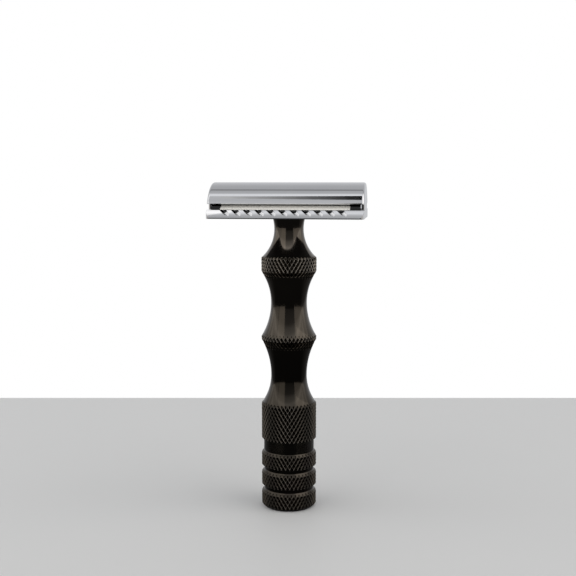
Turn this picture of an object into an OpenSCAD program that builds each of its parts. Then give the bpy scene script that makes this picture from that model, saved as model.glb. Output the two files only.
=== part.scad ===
// Three-piece double-edge safety razor, standing on the foot of its handle.
// A cap and a base plate clamp a bent blade; the cap's stud screws into the handle.
// Millimetres. Origin at the centre of the foot, +Z up, X along the cutting edges.

/* [Handle] */
// Height of the seat that carries the base plate
handle_h = 88.3; // [87:0.1:90]
// Radius of the knurled bands and the rings
grip_r = 8.25; // [7.8:0.05:8.6]
// Smallest radius of the neck under the head
neck_r = 4.36; // [4:0.02:4.6]
// Height of the neck's narrowest point
neck_z = 84.2; // [83:0.1:85]
// Smallest radius of the upper waist
upper_waist_r = 5.35; // [5:0.05:6]
// Height of the upper waist's narrowest point
upper_waist_z = 62.3; // [61:0.1:63]
// Smallest radius of the lower waist
lower_waist_r = 5.35; // [5:0.05:6]
// Height of the lower waist's narrowest point
lower_waist_z = 40.3; // [39:0.1:41]

/* [Foot] */
// Height of the ringed foot, below the plain collar
foot_h = 17.5; // [17:0.1:18]
// Distance from one ring to the next
ring_pitch = 6.0; // [5.8:0.05:6.2]
// Height of one ring
ring_h = 4.7; // [4:0.1:5]
// Radius at the bottom of the grooves between the rings
groove_r = 7.4; // [7:0.05:7.6]
// Height of the bevel on the top edge of each ring
ring_bevel = 0.95; // [0.6:0.05:1.2]

/* [Head] */
// Length of the cap and the base plate
head_l = 45.4; // [44.2:0.1:47]
// Front-to-back size of the base plate
plate_w = 24; // [23.6:0.1:24.4]
// Radius of the cap's domed top
dome_r = 11.66; // [11.5:0.02:11.9]
// Height of the cap's lip above the foot
lip_z = 91.68; // [91.5:0.02:91.9]
// Height of the base plate's bottom rim
rim_z = 87.5; // [87.2:0.1:87.8]
// Height of the guards
guard_z = 90; // [89.8:0.05:90.1]
// Number of notches in each guard
notch_count = 11; // [9:2:11]
// Distance between notches
notch_pitch = 3.37; // [3.2:0.01:3.4]

/* [Blade] */
// Overall length of the blade
blade_l = 42.9; // [42.6:0.1:43]
// Flat width of the blade across both edges
blade_w = 22.1; // [21.8:0.1:22.2]
// Length of each cutting edge
edge_l = 37.3; // [37:0.1:37.5]
// Thickness of the blade
blade_t = 0.1; // [0.08:0.01:0.12]
// Radius that the clamped blade is bent to
bend_r = 21.8; // [21.6:0.05:22]

/* [Fastening] */
// Major radius of the cap's M5 stud
stud_r = 2.5; // [2.4:0.01:2.5]
// Height of the stud's tip
stud_tip_z = 82; // [81:0.5:84]
// Distance of each locating peg from the centre
peg_x = 10.5; // [10:0.1:11]
// Radius of the locating pegs
peg_r = 1.5; // [1.4:0.05:1.6]

/* [Hidden] */
$fn = 96;
eps = 0.01;
chrome = "gainsboro";
gunmetal = "dimgray";

// Head
dome_z = 86.23;                     // centre height of the dome's arc
end_round = 0.7;                    // rounding of the dome's two end edges
lip_bevel = 0.25;                   // small bevel under the cap's lip
head_x = head_l / 2;
lip_y = sqrt(pow(dome_r, 2) - pow(lip_z - dome_z, 2));    // half width across the lips
blade_top_z = 92.95;                // top of the bent blade at the middle
bend_z = blade_top_z - bend_r;      // centre height of the blade's bend
bend_gap = 0.05;                    // gap between the blade and what clamps it
corner_r = 1.2;                     // corner rounding of the whole head in plan
pad_x = 18.4;                       // half length of the clamping pad
pad_y = 8.4;                        // half width of the clamping pad
cheek_t = 0.85;                     // thickness of the cap's end cheeks
cheek_y = 7.2;                      // half width of the cap's end cheeks
cheek_gap = 0.08;                   // gap between a cheek and the base plate
bed_y = 8.6;                        // half width of the blade bed
bed_x = head_x - cheek_t - 0.25;    // half length of the blade bed
channel_z = 88.5;                   // floor of the lather channels
rim_bevel = 0.3;                    // bevel of the plate's bottom edges
face_r = 12;                        // large arc of each guard's sloping outer face
face_y = 0.64;                      // how far that arc's centre is past the middle
face_z = 83.93;                     // and its height
guard_t = 1.15;                     // thickness of each guard bar at its foot
guard_y = plate_w / 2 - guard_t;    // inner side of each guard bar
under_rim = 1.3;                    // width of the rim around the underside
seat_z = handle_h;                  // recessed underside, where the handle seats
notch_r = 0.78;                     // radius of a notch
notch_shift = 0.65;                 // brings the leaning notches back to the middle
notch_drop = 0.1;                   // depth of a notch's axis below the guard's top
notch_inset = 0.8;                  // where it has that depth, from the outer edge
notch_slant = 49;                   // how far a notch turns along the guard
notch_tilt = 30;                    // how far it drops towards the outside
stud_hole_r = 2.75;                 // hole through the base plate for the stud
peg_hole_r = peg_r + 0.08;          // and for each peg
peg_tip_z = 88.7;
tip_bevel = 0.5;                    // bevel on the stud's and the pegs' tips
root_z = 94.2;                      // where the stud and pegs are fixed in the cap

// Blade cut-outs
tab_w = 13.2;                       // width of the blade's end tabs
blade_hole_r = 2.9;                 // hole around the stud
blade_peg_r = 1.9;                  // and around each peg
slot_w = 1.4;                       // slot along the middle
slot_x = 15;                        // half length of that slot
slot_end_r = 1.1;
blade_y = bend_r * sin(blade_w / 2 / bend_r * 180 / PI);

// Handle
neck_up_r = 12;                     // arc above the neck's narrowest point
neck_down_r = 11.3;                 // arc below it
shoulder_z = 75.4;                  // top of the upper knurled band
upper_up_r = 16.6;                  // arcs of the upper waist
upper_down_r = 19.5;
lower_up_r = 22.5;                  // arcs of the lower waist
lower_down_r = 14.3;
middle_top_z = 52.4;                // middle knurled band
middle_low_z = 50.9;
upper_low_z = 71.5;
grip_top_z = 31.8;                  // top of the long knurled grip
collar_r = 7.55;                    // plain collar between the grip and the foot
collar_top_z = 21.1;
insert_r = 3.3;
insert_low_z = 78.3;
thread_hole_r = stud_r + 0.05;
bore_r = 2.6;                       // drilled clearance below the insert
bore_low_z = 74;
spigot_r = 4;
spigot_top_z = 27;
spigot_gap = 0.02;
foot_round = 0.9;                   // chamfer around the bottom of the foot

// A round bar along X, between x0 and x1
module bar_x(r, z, x0, x1) {
    translate([x0, 0, z]) rotate([0, 90, 0]) cylinder(r = r, h = x1 - x0);
}

// A block centred on the Z axis, between two heights
module block(x, y, z0, z1) {
    translate([-x, -y, z0]) cube([2 * x, 2 * y, z1 - z0]);
}

// A block with four rounded corners in plan
module rounded_block(x, y, r, z0, z1) {
    translate([0, 0, z0]) linear_extrude(z1 - z0) {
        square([2 * x, 2 * (y - r)], center = true);
        square([2 * (x - r), 2 * y], center = true);
        for (sx = [-1, 1], sy = [-1, 1])
            translate([sx * (x - r), sy * (y - r)]) circle(r);
    }
}

// The dome is a round bar with rounded ends, turned about the X axis
module dome_bar() {
    rotate([0, 90, 0]) rotate_extrude() {
        translate([0, -head_x]) square([dome_r - end_round, head_l]);
        translate([0, end_round - head_x]) square([dome_r, head_l - 2 * end_round]);
        for (side = [-1, 1])
            translate([dome_r - end_round, side * (head_x - end_round)]) circle(end_round);
    }
}

// Keeps what is above the lip and bevels the lip's lower edge
module lip_keep() {
    rotate([90, 0, 90]) translate([0, 0, -head_x - 1]) linear_extrude(head_l + 2)
        polygon([[lip_bevel - lip_y, lip_z], [lip_y - lip_bevel, lip_z],
                 [lip_y + lip_bevel, lip_z + 2 * lip_bevel], [dome_r + 1, dome_z + dome_r + 1],
                 [-dome_r - 1, dome_z + dome_r + 1], [-lip_y - lip_bevel, lip_z + 2 * lip_bevel]]);
}

module cap() {
    color(chrome) difference() {
        union() {
            intersection() {
                translate([0, 0, dome_z]) dome_bar();
                lip_keep();
                rounded_block(head_x, lip_y + 0.1, corner_r, rim_z, lip_z + dome_r);
            }
            block(pad_x, pad_y, rim_z, lip_z + 1);
            intersection() {
                for (side = [-1, 1])
                    translate([side * (head_x - cheek_t / 2), 0, 0])
                        block(cheek_t / 2, cheek_y, guard_z + cheek_gap, lip_z + 1);
                rounded_block(head_x, cheek_y, cheek_t / 2, rim_z, lip_z + 2);
            }
        }
        // Hollow underside that the bent blade lies against
        bar_x(bend_r + bend_gap, bend_z, cheek_t - head_x, head_x - cheek_t);
        cylinder(r = stud_r, h = root_z);
        for (side = [-1, 1]) translate([side * peg_x, 0, 0]) cylinder(r = peg_r, h = root_z);
    }
}

// A round pin hanging from the cap, with a bevelled tip
module hanging_pin(r, tip_z) {
    translate([0, 0, tip_z]) cylinder(r1 = r - tip_bevel, r2 = r, h = tip_bevel);
    translate([0, 0, tip_z + tip_bevel]) cylinder(r = r, h = root_z - tip_z - tip_bevel);
}

module cap_stud() {
    color(chrome) hanging_pin(stud_r, stud_tip_z);
}

module peg(side) {
    color(chrome) translate([side * peg_x, 0, 0]) hanging_pin(peg_r, peg_tip_z);
}

// Plan outline of the blade, as it looks once it is bent
module blade_outline() {
    difference() {
        union() {
            square([edge_l, 2 * blade_y], center = true);
            square([blade_l, tab_w], center = true);
        }
        circle(blade_hole_r);
        square([2 * slot_x, slot_w], center = true);
        for (side = [-1, 1]) {
            translate([side * peg_x, 0]) circle(blade_peg_r);
            translate([side * slot_x, 0]) circle(slot_end_r);
        }
    }
}

module blade() {
    color("silver") intersection() {
        translate([0, 0, rim_z]) linear_extrude(10) blade_outline();
        difference() {
            bar_x(bend_r, bend_z, -head_x, head_x);
            bar_x(bend_r - blade_t, bend_z, -head_x - 1, head_x + 1);
        }
    }
}

// Round cutters that lean along the guard, so the teeth look like a rope
module notches() {
    for (i = [0 : notch_count - 1])
        translate([(i - (notch_count - 1) / 2) * notch_pitch - notch_shift,
                   notch_inset - plate_w / 2, guard_z - notch_drop])
            rotate([90 + notch_tilt, 0, notch_slant]) cylinder(r = notch_r, h = 5, center = true);
}

// One large arc gives each guard its sloping outer face
module face_disc(side) {
    translate([side * face_y, face_z]) circle(face_r, $fn = 180);
}

// The base plate's outer shape: its section along X, cut to the rounded plan
module plate_blank() {
    y = plate_w / 2;
    intersection() {
        rotate([90, 0, 90]) translate([0, 0, -head_x]) linear_extrude(head_l) intersection() {
            polygon([[-y, rim_z + rim_bevel], [rim_bevel - y, rim_z], [y - rim_bevel, rim_z],
                     [y, rim_z + rim_bevel], [y, guard_z], [-y, guard_z]]);
            union() {
                face_disc(-1);
                face_disc(1);
            }
        }
        rounded_block(head_x, y, corner_r, rim_z - 1, guard_z + 1);
    }
}

module base_plate() {
    color(chrome) difference() {
        union() {
            difference() {
                plate_blank();
                block(head_x - cheek_t, guard_y, channel_z, guard_z + 1);
            }
            intersection() {
                block(bed_x, bed_y, rim_z, blade_top_z);
                bar_x(bend_r - blade_t - bend_gap, bend_z, -bed_x, bed_x);
            }
        }
        block(head_x - under_rim, plate_w / 2 - under_rim, rim_z - 1, seat_z);
        notches();
        rotate([0, 0, 180]) notches();
        cylinder(r = stud_hole_r, h = blade_top_z + 1);
        for (side = [-1, 1])
            translate([side * peg_x, 0, 0]) cylinder(r = peg_hole_r, h = blade_top_z + 1);
    }
}

// Half outline of a waist between two heights, hollowed by one arc
module waist(z0, z1, r, z, arc_r) {
    difference() {
        translate([0, z0]) square([grip_r, z1 - z0]);
        translate([r + arc_r, z]) circle(arc_r, $fn = 180);
    }
}

module handle_outline() {
    waist(neck_z, handle_h, neck_r, neck_z, neck_up_r);
    waist(shoulder_z, neck_z, neck_r, neck_z, neck_down_r);
    translate([0, upper_low_z]) square([grip_r, shoulder_z - upper_low_z]);
    waist(upper_waist_z, upper_low_z, upper_waist_r, upper_waist_z, upper_up_r);
    waist(middle_top_z, upper_waist_z, upper_waist_r, upper_waist_z, upper_down_r);
    translate([0, middle_low_z]) square([grip_r, middle_top_z - middle_low_z]);
    waist(lower_waist_z, middle_low_z, lower_waist_r, lower_waist_z, lower_up_r);
    waist(grip_top_z, lower_waist_z, lower_waist_r, lower_waist_z, lower_down_r);
    translate([0, collar_top_z]) square([grip_r, grip_top_z - collar_top_z]);
    translate([0, foot_h]) square([collar_r, collar_top_z - foot_h]);
}

module handle_body() {
    color(gunmetal) rotate_extrude() difference() {
        handle_outline();
        translate([-eps, insert_low_z]) square([insert_r + eps, handle_h]);
        translate([-eps, bore_low_z]) square([bore_r + eps, handle_h]);
        translate([-eps, 0]) square([spigot_r + spigot_gap + eps, spigot_top_z + 0.5]);
    }
}

module thread_insert() {
    color("goldenrod") rotate_extrude()
        translate([thread_hole_r, insert_low_z])
            square([insert_r - thread_hole_r, handle_h - insert_low_z]);
}

// Half outline of one ring with a bevelled top edge
module ring(z0) {
    polygon([[0, z0], [grip_r, z0], [grip_r, z0 + ring_h - ring_bevel],
             [groove_r, z0 + ring_h], [0, z0 + ring_h]]);
}

module base_knob() {
    top_ring_z = foot_h - ring_h;
    color(gunmetal) rotate_extrude() {
        ring(top_ring_z);
        ring(top_ring_z - ring_pitch);
        intersection() {
            ring(top_ring_z - 2 * ring_pitch);
            polygon([[0, 0], [grip_r - foot_round, 0], [grip_r, foot_round],
                     [grip_r, foot_h], [0, foot_h]]);
        }
        square([groove_r, foot_h - ring_bevel]);
        translate([0, foot_h - eps]) square([spigot_r, spigot_top_z - foot_h]);
    }
}

cap();
cap_stud();
peg(-1);  // peg_left
peg(1);  // peg_right
blade();
base_plate();
handle_body();
thread_insert();
base_knob();
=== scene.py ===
"""Looks of a three-piece double-edge safety razor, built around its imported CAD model.

The cap, the pegs, the blade and the base plate are the CAD's own solids with finished
materials. The turned parts are replaced with meshes that carry a modelled knurl or
thread. Outlines are in millimetres and become metres through MM.
"""

import math

import bpy
from mathutils import Matrix, Vector


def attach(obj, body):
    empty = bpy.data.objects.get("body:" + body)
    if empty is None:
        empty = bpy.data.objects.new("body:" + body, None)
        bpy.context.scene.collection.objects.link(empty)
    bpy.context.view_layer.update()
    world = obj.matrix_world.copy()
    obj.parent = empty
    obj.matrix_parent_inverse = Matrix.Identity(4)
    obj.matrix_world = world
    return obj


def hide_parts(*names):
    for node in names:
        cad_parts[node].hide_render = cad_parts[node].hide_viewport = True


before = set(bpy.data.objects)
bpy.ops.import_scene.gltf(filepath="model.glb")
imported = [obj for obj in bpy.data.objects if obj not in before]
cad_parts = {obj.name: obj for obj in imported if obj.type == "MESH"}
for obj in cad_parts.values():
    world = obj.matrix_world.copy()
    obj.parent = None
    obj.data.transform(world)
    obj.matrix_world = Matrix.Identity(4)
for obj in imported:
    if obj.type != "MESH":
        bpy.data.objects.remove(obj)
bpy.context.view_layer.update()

MM = 0.001
TAU = 2 * math.pi
ON_AXIS = 1e-7
CAMERA_AZIMUTH = math.radians(7.2)
SMOOTH_ANGLE = math.radians(30)

# Outlines, in millimetres
BAND_R = 8.25
GROOVE_R = 7.4
COLLAR_R = 7.52
COLLAR_LOW = 17.6
COLLAR_HIGH = 21.1
COLLAR_GROOVES = 14
COLLAR_STEP = 0.25
WAIST_R = 5.35
NECK_R = 4.36
WAIST_STEP = 0.6
CORNER_ROUND = 0.08
GENTLE_BEND = math.radians(20)

# Knurl: the bar is knurled first and turned afterwards, so the turned outline cuts
# through a field of small pits, left between two families of helical crests.
KNURL_R = BAND_R * MM
KNURL_AROUND = 42  # pits around the bar
KNURL_RISE = 2.0 * MM  # from a pit to the next one straight above it
KNURL_DEPTH = 0.68 * MM
KNURL_CREST = 0.07  # share of the way into a pit over which a crest stays flat
KNURL_SAG = 0.08 * MM  # of the crests between their crossings
KNURL_STEPS = 4  # mesh rows and columns for half a pit

# Two flanks below a band, down which the knurl runs out
FLANKS = ((48.2 * MM, 51.3 * MM), (69.6 * MM, 71.7 * MM))
FLANK_DEPTH = 1.3  # of the pits at their deepest, against those of the bands
FLANK_GROWTH = 1.5  # over 1, so that they are at their deepest below the flank's top
FLANK_POWER = 1.2

# Thread of the stud and of the insert that it screws into
PITCH = 0.8 * MM
THREAD_DEPTH = 0.42 * MM
THREAD_SLOPE = 1.15  # over 1, which leaves a narrow flat between the turns

# Studio, in metres
HEAD_HEIGHT = 0.09
SOFTBOX_DISTANCE = 0.6
NEAR_BOX, LOW_BOX, HIGH_BOX = (0.02, 1.0), (0.02, 0.41), (0.41, 1.5)


# ---------------------------------------------------------------- mesh helpers


def mesh_object(name, verts, faces, material):
    """A mesh object that is smooth except across its sharp edges."""
    mesh = bpy.data.meshes.new(name)
    mesh.from_pydata(verts, [], faces)
    mesh.polygons.foreach_set("use_smooth", [True] * len(mesh.polygons))
    mesh.set_sharp_from_angle(angle=SMOOTH_ANGLE)
    mesh.materials.append(material)
    obj = bpy.data.objects.new(name, mesh)
    bpy.context.scene.collection.objects.link(obj)
    return obj


def waist(z0, z1, low_r, low_z, radius):
    """Outline points between two heights of a waist hollowed by one arc, in mm."""
    steps = max(2, round(abs(z1 - z0) / WAIST_STEP))
    points = []
    for i in range(steps + 1):
        z = z0 + (z1 - z0) * i / steps
        points.append((low_r + radius - math.sqrt(radius**2 - (z - low_z) ** 2), z))
    return points


def eased(points):
    """The same outline in mm with every sharp corner cut back by a small round."""
    out = [points[0]]
    for before, here, after in zip(points, points[1:], points[2:]):
        a = Vector(before) - Vector(here)
        b = Vector(after) - Vector(here)
        if math.pi - a.angle(b) < GENTLE_BEND:
            out.append(here)
            continue
        # Just under half of each neighbouring stretch, so that two rounds never meet
        reach = min(CORNER_ROUND, a.length / 2.1, b.length / 2.1)
        p = Vector(here) + a.normalized() * reach
        q = Vector(here) + b.normalized() * reach
        middle = (p + q) / 4 + Vector(here) / 2
        out.extend([tuple(p), tuple(middle), tuple(q)])
    out.append(points[-1])
    return out


def triangle_wave(x):
    """0 at whole numbers and 1 halfway between them."""
    return 1 - abs(2 * (x % 1) - 1)


class Knurl:
    """Diamond knurl under a turned outline, which also runs out down two flanks.

    Crests run where left or right is 0. They sag between their crossings.
    """

    around = 2 * KNURL_AROUND * KNURL_STEPS
    row = KNURL_RISE / 2 / KNURL_STEPS
    low = KNURL_R - KNURL_DEPTH

    def reaches(self, r, z):
        return r > self.low or any(low < z < high for low, high in FLANKS)

    def radius(self, i, r, z):
        along = z / self.row
        left = triangle_wave((i + along) / (2 * KNURL_STEPS))
        right = triangle_wave((i - along) / (2 * KNURL_STEPS))
        pit = max(0, min(left, right) - KNURL_CREST) / (1 - KNURL_CREST)
        cut = KNURL_DEPTH * pit + KNURL_SAG * max(left, right)
        radius = min(r, KNURL_R - cut)
        for low, high in FLANKS:
            if low < z < high:
                growth = min(1, FLANK_GROWTH * (z - low) / (high - low))
                radius = min(radius, r - cut * FLANK_DEPTH * growth**FLANK_POWER)
        return radius

    def splits_right(self, i, z):
        """Which way a quad is cut, so that the cut follows the nearer crest."""
        return (i // KNURL_STEPS + math.floor(z / self.row) // KNURL_STEPS) % 2 == 0


class Thread:
    """Right-hand thread between two heights, on a stud or inside a hole.

    It is limit in radius at its widest, and it fades in over one turn from each end.
    """

    around = 64
    row = PITCH / 8

    def __init__(self, low, high, limit):
        self.low, self.high, self.limit = low, high, limit

    def reaches(self, r, z):
        near = abs(r - self.limit) < THREAD_DEPTH * 1.05
        return near and self.low <= z <= self.high

    def radius(self, i, r, z):
        fade = min((z - self.low) / PITCH, (self.high - z) / PITCH, 1)
        rise = triangle_wave(z / PITCH - i / self.around)
        cut = THREAD_DEPTH * max(fade, 0) * min(THREAD_SLOPE * (1 - rise), 1)
        return min(r, self.limit - cut)

    def splits_right(self, i, z):
        return True


def with_rows(points, relief):
    """Splits the stretches of an outline that carry relief at every row of it."""
    out = [points[0]]
    # Rows closer than this to a point of the outline are left out
    gap = relief.row * 0.15
    for (r0, z0), (r1, z1) in zip(points, points[1:]):
        low, high = sorted((z0, z1))
        middle = (z0 + z1) / 2
        if relief.reaches(r0, middle) or relief.reaches(r1, middle):
            span = range(math.ceil(low / relief.row), math.floor(high / relief.row) + 1)
            rows = [k * relief.row for k in span]
            rows = [z for z in rows if low + gap < z < high - gap]
            for z in rows if z1 > z0 else reversed(rows):
                out.append((r0 + (r1 - r0) * (z - z0) / (z1 - z0), z))
        out.append((r1, z1))
    return out


def turned(name, outline_mm, material, relief, closed=False):
    """A solid of revolution around Z with relief, from (radius, height) points in mm.

    An open outline starts and ends on the axis; a closed one makes a ring.
    """
    points = with_rows([(r * MM, z * MM) for r, z in outline_mm], relief)
    around = relief.around
    verts, rings = [], []
    for r, z in points:
        start = len(verts)
        if r < ON_AXIS:
            verts.append((0, 0, z))
            rings.append([start] * around)
            continue
        for i in range(around):
            radius = relief.radius(i, r, z) if relief.reaches(r, z) else r
            angle = TAU * i / around
            verts.append((radius * math.cos(angle), radius * math.sin(angle), z))
        rings.append(list(range(start, start + around)))
    count = len(rings)
    faces = []
    for k in range(count if closed else count - 1):
        following = (k + 1) % count
        (r0, z0), (r1, z1) = points[k], points[following]
        middle = (z0 + z1) / 2
        cut = relief.reaches(r0, middle) or relief.reaches(r1, middle)
        for i in range(around):
            j = (i + 1) % around
            a, b = rings[k][i], rings[k][j]
            d, c = rings[following][i], rings[following][j]
            if a == b:
                faces.append((a, c, d))
            elif c == d:
                faces.append((a, b, c))
            elif cut and relief.splits_right(i, middle):
                faces.extend([(a, b, c), (a, c, d)])
            elif cut:
                faces.extend([(a, b, d), (b, c, d)])
            else:
                faces.append((a, b, c, d))
    return mesh_object(name, verts, faces, material)


# ------------------------------------------------------------------- materials


class Nodes:
    """A node tree, with short calls to add and link its nodes."""

    def __init__(self, tree):
        self.tree = tree

    def add(self, kind, settings=None, **inputs):
        node = self.tree.nodes.new(kind)
        for key, value in (settings or {}).items():
            setattr(node, key, value)
        for key, value in inputs.items():
            self.set(node.inputs[key.replace("_", " ")], value)
        return node

    def set(self, socket, value):
        if isinstance(value, bpy.types.NodeSocket):
            self.tree.links.new(value, socket)
        else:
            socket.default_value = value

    def math(self, operation, a, b=0.0):
        node = self.add("ShaderNodeMath", {"operation": operation})
        self.set(node.inputs[0], a)
        self.set(node.inputs[1], b)
        return node.outputs[0]

    def mix(self, factor, a, b):
        """One colour or the other; sockets 6, 7 and 2 are the node's colour sockets."""
        node = self.add("ShaderNodeMix", {"data_type": "RGBA"})
        self.set(node.inputs["Factor"], factor)
        self.set(node.inputs[6], (*a, 1) if isinstance(a, tuple) else a)
        self.set(node.inputs[7], (*b, 1) if isinstance(b, tuple) else b)
        return node.outputs[2]


class Graph(Nodes):
    """The node tree of a new material, in the piece's own coordinates."""

    def __init__(self, name):
        self.material = bpy.data.materials.new(name)
        self.material.use_nodes = True
        super().__init__(self.material.node_tree)
        self.shader = self.tree.nodes["Principled BSDF"]
        self.place = self.add("ShaderNodeTexCoord").outputs["Object"]
        split = self.add("ShaderNodeSeparateXYZ", Vector=self.place)
        self.x, self.y, self.z = split.outputs

    def noise(self, scale, detail, stretch=(1, 1, 1)):
        """Noise with scale features per metre, made finer along the stretched axes."""
        place = self.add("ShaderNodeMapping", Vector=self.place, Scale=stretch).outputs[0]
        noise = self.add("ShaderNodeTexNoise", Vector=place, Scale=scale, Detail=detail)
        return noise.outputs[0]

    def ramp(self, value, low, high, to_low=0.0, to_high=1.0):
        node = self.add("ShaderNodeMapRange", Value=value, From_Min=low, From_Max=high,
                        To_Min=to_low, To_Max=to_high)
        return node.outputs[0]

    def bump(self, height, strength, distance):
        node = self.add("ShaderNodeBump", Height=height, Strength=strength, Distance=distance)
        return node.outputs[0]

    def finish(self, color, roughness, normal=None, metallic=1.0):
        self.set(self.shader.inputs["Base Color"], color)
        self.set(self.shader.inputs["Roughness"], roughness)
        self.set(self.shader.inputs["Metallic"], metallic)
        if normal:
            self.set(self.shader.inputs["Normal"], normal)
        return self.material


def chrome_plate():
    """Polished chrome with faint smears and polishing lines along the head."""
    g = Graph("polished_chrome")
    smear = g.noise(110, 4)
    lines = g.noise(30, 5, (1, 60, 60))
    color = g.mix(smear, (0.7, 0.7, 0.715), (0.77, 0.77, 0.775))
    roughness = g.ramp(smear, 0.35, 0.7, 0.04, 0.075)
    roughness = g.math("ADD", roughness, g.ramp(lines, 0.5, 0.8, 0, 0.04))
    return g.finish(color, roughness, g.bump(lines, 0.12, 2e-6))


def dark_plate():
    """Dark plated handle: turned surface, worn where the crests cross, with painted shade
    darkening the surface and the worn crests low down.
    """
    g = Graph("dark_plated_metal")
    square = g.math("ADD", g.math("MULTIPLY", g.x, g.x), g.math("MULTIPLY", g.y, g.y))
    radius = g.math("SQRT", square)
    blotch = g.noise(160, 5)
    grime = g.noise(900, 3)
    rings = g.noise(1, 4, (40, 40, 9000))

    # Two tones of the plated surface, blended by height below: painted shade low down, painted
    # light higher up.
    low = g.mix(blotch, (0.05, 0.043, 0.035), (0.066, 0.057, 0.046))
    high = g.mix(blotch, (0.11, 0.095, 0.077), (0.145, 0.125, 0.102))
    plain_shaded_by_height = g.mix(g.ramp(g.z, 40 * MM, 80 * MM), low, high)
    crest_wear_and_shade = g.ramp(radius, 8.08 * MM, BAND_R * MM)
    crest_wear_and_shade = g.math("MULTIPLY", crest_wear_and_shade, g.ramp(blotch, 0.3, 0.6, 0.5, 1))
    # Painted shade: the crests' wear is faded towards the bottom, so the knurl darkens low
    # down as if less lit.
    crest_wear_and_shade = g.math("MULTIPLY", crest_wear_and_shade, g.ramp(g.z, 5 * MM, 75 * MM, 0.2, 1.0))
    above = g.ramp(g.z, COLLAR_LOW * MM, (COLLAR_LOW + 0.2) * MM)
    below = g.ramp(g.z, COLLAR_HIGH * MM, (COLLAR_HIGH - 0.2) * MM)
    collar = g.math("MULTIPLY", above, below)
    color = g.mix(crest_wear_and_shade, plain_shaded_by_height, (0.32, 0.3, 0.27))
    color = g.mix(collar, color, (0.05, 0.045, 0.037))

    roughness = g.ramp(rings, 0.35, 0.65, 0.07, 0.12)
    roughness = g.math("ADD", roughness, g.ramp(grime, 0.4, 0.7, 0, 0.04))
    roughness = g.math("ADD", roughness, g.math("MULTIPLY", collar, 0.1))
    roughness = g.math("ADD", roughness, g.ramp(radius, 7.65 * MM, 8.1 * MM, 0, 0.12))
    strength = g.math("ADD", 0.1, g.math("MULTIPLY", collar, 0.25))
    return g.finish(color, roughness, g.bump(rings, strength, 6e-6))


def blade_steel():
    """Warm-grey rolled steel with fine strokes, and along both edges a near-white, almost
    non-metallic band: a painted reflection standing in for the bright edge strip.
    """
    g = Graph("ground_blade_steel")
    strokes = g.noise(30, 4, (160, 1, 1))
    rolled = g.noise(25, 4, (1, 120, 120))
    # Painted reflection: both edges turn near-white and almost non-metallic, brightening the
    # strip in the gap under the cap.
    painted_edge_sheen = g.ramp(g.math("ABSOLUTE", g.y), 8.2 * MM, 8.5 * MM)
    color = g.mix(g.ramp(rolled, 0.4, 0.8, 0, 0.3), (0.56, 0.54, 0.49), (0.5, 0.48, 0.43))
    color = g.mix(painted_edge_sheen, color, g.mix(rolled, (0.9, 0.88, 0.82), (0.99, 0.97, 0.91)))
    roughness = g.ramp(rolled, 0.3, 0.7, 0.24, 0.36)
    roughness = g.math("ADD", roughness, g.math("MULTIPLY", painted_edge_sheen, 0.15))
    metallic = g.math("SUBTRACT", 1.0, g.math("MULTIPLY", painted_edge_sheen, 0.95))
    return g.finish(color, roughness, g.bump(strokes, 0.25, 4e-6), metallic)


def machined(name, dark, light, rough):
    """A turned metal with fine rings left by the tool."""
    g = Graph(name)
    rings = g.noise(1, 4, (60, 60, 7000))
    cloud = g.noise(400, 3)
    roughness = g.ramp(rings, 0.3, 0.7, rough, rough + 0.12)
    return g.finish(g.mix(cloud, dark, light), roughness, g.bump(rings, 0.2, 6e-6))


CHROME = chrome_plate()
DARK = dark_plate()
STEEL = machined("satin_stud_steel", (0.5, 0.5, 0.5), (0.66, 0.66, 0.66), 0.22)
BRASS = machined("machined_brass", (0.6, 0.42, 0.17), (0.74, 0.56, 0.26), 0.2)
BLADE = blade_steel()


# ---------------------------------------------------------------------- pieces


def placed(obj, body, node):
    """Puts a piece on the body it rides on and hides the node it stands for."""
    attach(obj, body)
    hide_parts(node)


def build_handle():
    """Grooved collar, two waists and a neck between three bands, and the bores."""
    outline = [(0, 27.5), (4.02, 27.5), (4.02, 17.5), (COLLAR_R, 17.5)]
    for k in range(COLLAR_GROOVES):
        low = COLLAR_LOW + k * COLLAR_STEP
        outline += [(COLLAR_R, low), (COLLAR_R + 0.03, low + COLLAR_STEP / 2)]
    outline += [(COLLAR_R, COLLAR_HIGH - 0.02), (BAND_R, COLLAR_HIGH + 0.02)]
    outline += waist(31.67, 40.3, WAIST_R, 40.3, 14.3)
    outline += waist(40.3, 51.3, WAIST_R, 40.3, 22.5)[1:]
    outline += waist(52.1, 62.3, WAIST_R, 62.3, 19.5)
    outline += waist(62.3, 71.6, WAIST_R, 62.3, 16.6)[1:]
    outline += waist(75.66, 84.2, NECK_R, 84.2, 11.3)
    outline += waist(84.2, 88.3, NECK_R, 84.2, 12)[1:]
    outline += [(3.3, 88.3), (3.3, 78.3), (2.6, 78.3), (2.6, 74), (0, 74)]
    obj = turned("handle_body_turned", eased(outline), DARK, Knurl())
    placed(obj, "handle", "handle_body")


def build_knob():
    """Three knurled rings with grooves between them, and the spigot above them."""
    outline = [(0, 0), (7.35, 0), (BAND_R, 0.9), (BAND_R, 4.55)]
    for low in (6.8, 12.8):
        outline += [(GROOVE_R, low - 1.3), (GROOVE_R, low)]
        outline += [(BAND_R, low), (BAND_R, low + 3.75)]
    outline += [(GROOVE_R, 17.5), (4, 17.5), (4, 27), (0, 27)]
    obj = turned("base_knob_turned", eased(outline), DARK, Knurl())
    placed(obj, "handle", "base_knob")


def build_stud():
    outline = [(0, 82), (2, 82), (2.5, 82.5), (2.5, 94.2), (0, 94.2)]
    # Its thread starts below the tip, so it is at full depth all through the tip's chamfer
    relief = Thread(81.2 * MM, 91.6 * MM, 2.5 * MM)
    obj = turned("cap_stud_threaded", eased(outline), STEEL, relief)
    placed(obj, "cap", "cap_stud")


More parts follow.
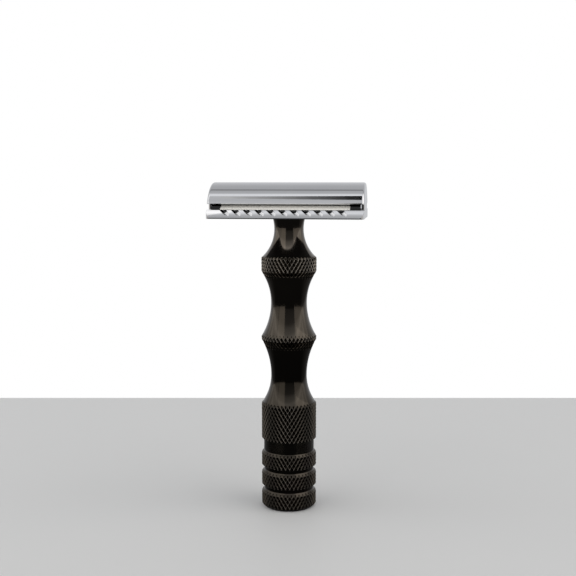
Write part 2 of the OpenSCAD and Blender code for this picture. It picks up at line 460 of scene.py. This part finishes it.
def build_insert():
    outline = [(3.3, 78.3), (3.3, 88.1), (3.1, 88.3), (2.75, 88.3), (2.55, 88.1), (2.55, 78.5),
               (2.75, 78.3)]
    relief = Thread(78.6 * MM, 88.0 * MM, 2.55 * MM)
    obj = turned("thread_insert_tapped", outline, BRASS, relief, closed=True)
    placed(obj, "handle", "thread_insert")


def finish_cad_nodes():
    finishes = {"cap": CHROME, "base_plate": CHROME, "peg_left": STEEL, "peg_right": STEEL,
                "blade": BLADE}
    for name, material in finishes.items():
        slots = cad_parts[name].data.materials
        slots.clear()
        slots.append(material)


# ----------------------------------------------------------------------- stage


def aimed(name, data, place, back):
    """A camera or a light at a place, with its back towards a direction."""
    obj = bpy.data.objects.new(name, data)
    obj.location = place
    obj.rotation_mode = "QUATERNION"
    obj.rotation_quaternion = back.to_track_quat("Z", "Y")
    bpy.context.scene.collection.objects.link(obj)
    return obj


def camera():
    """The camera at the reference viewing angle, looking at the handle's axis."""
    distance, height, pitch = 285.8 * MM, 99.1 * MM, math.radians(6.81)
    data = bpy.data.cameras.new("camera")
    data.lens = 60.22
    data.sensor_width = 36
    data.shift_x = -0.0017
    data.shift_y = 0.009
    right, ahead = math.sin(CAMERA_AZIMUTH), -math.cos(CAMERA_AZIMUTH)
    place = (distance * right, distance * ahead, height)
    back = Vector((right, ahead, math.tan(pitch)))
    bpy.context.scene.camera = aimed("camera", data, place, back)


def stage_mesh(name, verts, material):
    """One flat stage surface from its corners in order."""
    obj = mesh_object(name, verts, [tuple(range(len(verts)))], material)
    return obj


def emission(name, strength):
    """A material that only glows, white."""
    material = bpy.data.materials.new(name)
    material.use_nodes = True
    nodes = Nodes(material.node_tree)
    nodes.tree.nodes.clear()
    glow = nodes.add("ShaderNodeEmission", Strength=strength)
    nodes.add("ShaderNodeOutputMaterial", Surface=glow.outputs[0])
    return material


def softbox(name, azimuths, heights, radiance, color):
    """A soft box beside the razor, from one azimuth to another in degrees from the front."""
    middle = math.radians(sum(azimuths) / 2)
    half_angle = math.radians(abs(azimuths[1] - azimuths[0]) / 2)
    width = 2 * SOFTBOX_DISTANCE * math.tan(half_angle)
    height = heights[1] - heights[0]
    data = bpy.data.lights.new(name, "AREA")
    data.shape = "RECTANGLE"
    data.size, data.size_y = width, height
    data.color = color
    data.energy = radiance * math.pi * width * height
    out = Vector((math.sin(middle), -math.cos(middle), 0))
    aimed(name, data, out * SOFTBOX_DISTANCE + Vector((0, 0, sum(heights) / 2)), out)


def blade_fill():
    """A narrow light on the head that fills its gap but makes no highlights."""
    place, target = Vector((0.05, -0.6, 0.16)), Vector((0, 0, 0.0905))
    data = bpy.data.lights.new("blade_fill", "SPOT")
    data.spot_size = math.radians(8)
    data.spot_blend = 0.5
    data.shadow_soft_size = 0.03
    data.energy = 4
    obj = aimed("blade_fill", data, place, place - target)
    obj.visible_glossy = False


def dark_flag(name, tip_x, end_x, tilt, half):
    """A dark card over the head, which puts a tapering streak in the polished cap.

    It runs along X from tip_x to end_x, tilt degrees up from the front, and is twice half
    degrees wide at its end. Strip by strip it darkens, from pale at the tip to black.
    """
    height, strips, brightest = 0.5, 12, 0.6
    for k in range(strips):
        x0 = tip_x + (end_x - tip_x) * k / strips
        x1 = tip_x + (end_x - tip_x) * (k + 1) / strips
        corners = []
        for x, side in ((x0, -1), (x1, -1), (x1, 1), (x0, 1)):
            spread = half * (0.45 + 0.55 * (x - tip_x) / (end_x - tip_x))
            reach = height / math.tan(math.radians(tilt - side * spread))
            corners.append((x, -reach, HEAD_HEIGHT + height))
        glow = brightest * (1 - (k + 0.5) / strips) ** 1.5
        stage_mesh(f"{name}_{k}", corners, emission(f"{name}_{k}_paint", glow))


def studio_world():
    """Studio walls and ceiling: dark in front and below, lighter above and behind.

    The view itself shows plain white behind the razor.
    """
    # Brightness by the angle in degrees: 0 in front, 90 above, 180 behind and 270 below
    stops = [
        (0, 0.09), (26, 0.17), (34, 0.4), (44, 0.55), (51, 0.9), (55, 0.8), (60, 0.6),
        (66, 0.55), (80, 0.58), (84, 0.92), (88, 0.92), (92, 0.58), (97, 0.5), (105, 0.46),
        (106.5, 0.18), (109, 0.18), (110.5, 0.46), (130, 0.5), (147, 0.6), (165, 0.68),
        (180, 0.62), (188, 0.5), (198, 0.12), (250, 0.05), (270, 0.03), (350, 0.03),
    ]
    world = bpy.data.worlds.new("studio")
    world.use_nodes = True
    nodes = Nodes(world.node_tree)
    direction = nodes.add("ShaderNodeTexCoord").outputs["Generated"]
    _, y, z = nodes.add("ShaderNodeSeparateXYZ", Vector=direction).outputs
    angle = nodes.math("ARCTAN2", z, nodes.math("MULTIPLY", y, -1.0))
    ramp = nodes.add("ShaderNodeValToRGB")
    nodes.set(ramp.inputs[0], nodes.math("FRACT", nodes.math("DIVIDE", angle, TAU)))
    elements = ramp.color_ramp.elements
    elements.remove(elements[1])
    for k, (degrees, level) in enumerate(stops):
        element = elements.new(degrees / 360) if k else elements[0]
        element.position = degrees / 360
        # A little cooler than the warm soft boxes
        element.color = (level * 0.985, level, level * 1.03, 1)
    in_view = nodes.add("ShaderNodeLightPath").outputs["Is Camera Ray"]
    seen = nodes.mix(in_view, ramp.outputs[0], (1, 1, 1))
    nodes.set(nodes.tree.nodes["Background"].inputs["Color"], seen)
    bpy.context.scene.world = world


def floor():
    """Pale floor, whose far edge lies square to the camera, close behind the razor."""
    g = Graph("floor_paint")
    tone = g.mix(g.noise(6, 4), (0.78, 0.78, 0.77), (0.82, 0.82, 0.81))
    side, near, far = 1.5, -1.2, 0.143
    corners = [(-side, near, 0), (side, near, 0), (side, far, 0), (-side, far, 0)]
    turn = Matrix.Rotation(CAMERA_AZIMUTH, 3, "Z")
    corners = [turn @ Vector(corner) for corner in corners]
    obj = stage_mesh("floor", corners, g.finish(tone, 0.6, metallic=0.0))
    obj.visible_glossy = False


def build_stage():
    floor()
    studio_world()
    dark_flag("flag", -0.12, 0.004, 75.5, 7.5)
    dark_flag("flag_low", -0.03, 0.004, 59, 1.3)
    blade_fill()
    softbox("softbox_left_near", (-18, -56), NEAR_BOX, 0.48, (1, 0.96, 0.9))
    softbox("softbox_left_far", (-58, -112), LOW_BOX, 0.4, (1, 0.97, 0.92))
    softbox("softbox_left_high", (-58, -112), HIGH_BOX, 0.35, (1, 0.97, 0.92))
    softbox("softbox_right_near", (41, 47), NEAR_BOX, 0.48, (1, 0.97, 0.92))
    softbox("softbox_right_far", (48, 112), LOW_BOX, 0.42, (1, 0.96, 0.91))
    softbox("softbox_right_high", (48, 112), HIGH_BOX, 0.85, (1, 0.96, 0.91))


build_handle()
build_knob()
build_stud()
build_insert()
finish_cad_nodes()
camera()
build_stage()

scene = bpy.context.scene
scene.view_settings.view_transform = "Standard"
